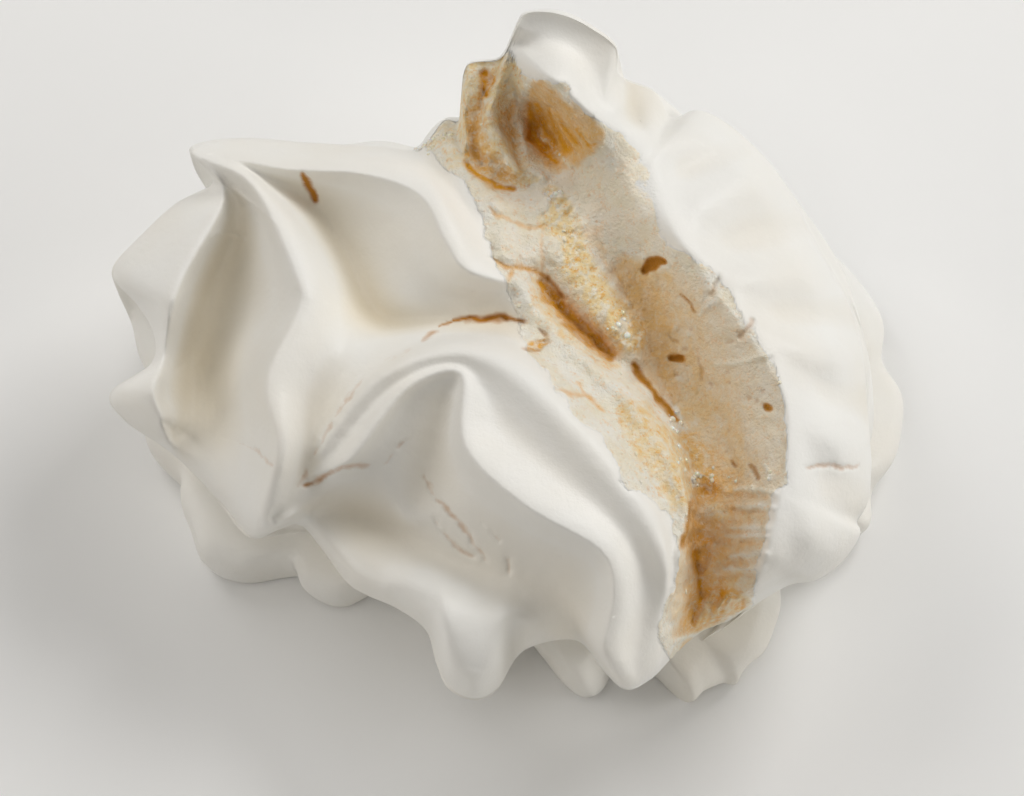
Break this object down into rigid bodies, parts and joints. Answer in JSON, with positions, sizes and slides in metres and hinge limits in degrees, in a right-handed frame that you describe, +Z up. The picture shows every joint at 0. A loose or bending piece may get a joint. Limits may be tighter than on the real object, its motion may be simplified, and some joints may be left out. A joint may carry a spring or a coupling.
{
  "type": "meringue cookie",
  "caption": "Large baked meringue with piped, folded swirls, pulled tips, a wide crack across the top, a lobed lower layer and a flat base.",
  "frame": {"origin": "centre of the bounding box on the table under the flat base", "axes": "+Z up from the base, +X along the longest side to the right, -Y towards the front, where the swirls slope down"},
  "size_m": [0.1096, 0.0906, 0.0542],
  "materials": {
    "meringue": "dry, faintly glossy baked skin, ivory white with tan crumb in the crack"
  },
  "bodies": {
    "root": {"meringue": "meringue"}
  },
  "joints": []
}
